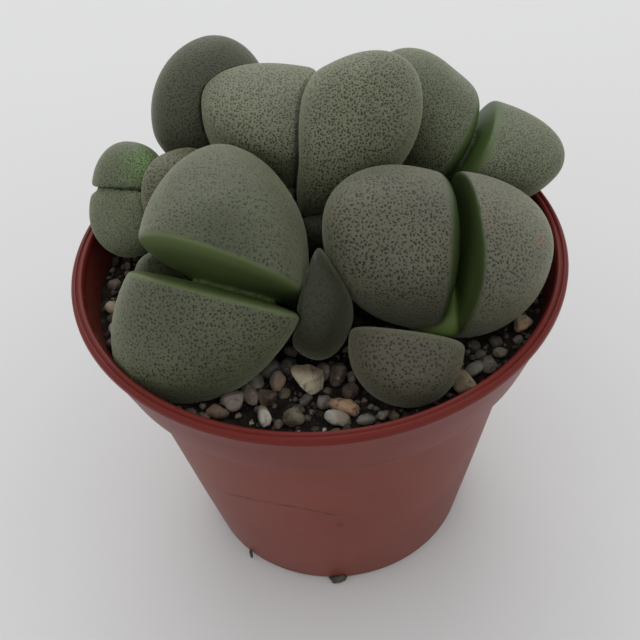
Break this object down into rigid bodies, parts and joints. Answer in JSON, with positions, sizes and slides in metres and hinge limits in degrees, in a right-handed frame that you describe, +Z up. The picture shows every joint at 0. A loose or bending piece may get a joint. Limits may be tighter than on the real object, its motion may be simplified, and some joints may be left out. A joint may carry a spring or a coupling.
{
  "type": "potted split rock succulent",
  "caption": "Clump of split rock, a stone-like succulent with thick paired spotted leaves and green clefts, in a round collared plastic nursery pot with gravelly soil",
  "frame": {"origin": "centre of the pot's underside, on the surface that it stands on", "axes": "+Z up, -Y the front with the two large leaf pairs and the open gravel, +X to the right of someone who faces that front"},
  "size_m": [0.1078, 0.1085, 0.1141],
  "materials": {
    "pot": "thin moulded terracotta-coloured plastic, satin, a little dusty",
    "soil": "dark peaty potting mix with beige and grey grit, matte",
    "leaf": "smooth leathery grey-green skin with fine dark green dots, plain green in the clefts",
    "old_leaf": "older, darker olive skin with the same dots",
    "stem": "short brown root crown, dry and fibrous"
  },
  "bodies": {
    "root": {"pot": "pot", "soil": "soil", "leaf_pair_right_front": "leaf", "leaf_pair_left_front": "leaf", "leaf_pair_centre_back": "leaf", "leaf_pair_right_back": "leaf", "leaf_pair_left_back": "leaf", "leaf_pair_left": "leaf", "old_leaf_right_front": "old_leaf", "old_leaf_centre_front": "old_leaf", "old_leaf_left_front": "old_leaf", "old_leaf_left": "old_leaf", "old_leaf_centre": "old_leaf", "stem_right_front": "stem", "stem_left_front": "stem", "stem_centre_back": "stem", "stem_right_back": "stem", "stem_left_back": "stem", "stem_left": "stem"}
  },
  "joints": []
}
